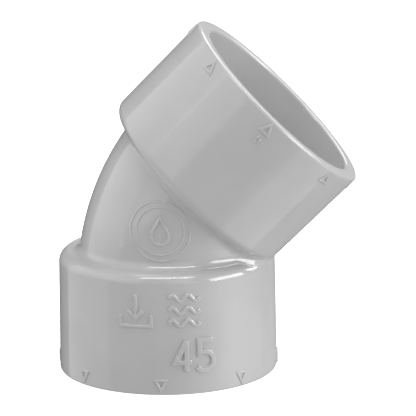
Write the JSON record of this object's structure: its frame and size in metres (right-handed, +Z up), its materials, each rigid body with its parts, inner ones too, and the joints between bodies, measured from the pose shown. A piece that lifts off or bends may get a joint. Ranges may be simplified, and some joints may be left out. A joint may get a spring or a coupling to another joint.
{
  "type": "pipe elbow",
  "caption": "Short 45 degree elbow with a plain socket at each end, for cementing drain or water pipe at a change of direction.",
  "frame": {"origin": "on the floor that the lower rim stands on, under the middle of the elbow's box", "axes": "+Z up along the lower socket's axis, into the elbow; the upper socket leans over towards +X at 45 degrees; -Y is the front, with the raised figures"},
  "size_m": [0.0522, 0.0384, 0.0607],
  "materials": {
    "pvc": "moulded, satin to semi-gloss, opaque light grey"
  },
  "bodies": {
    "root": {"lower_socket": "pvc", "bend": "pvc", "upper_socket": "pvc"}
  },
  "joints": []
}
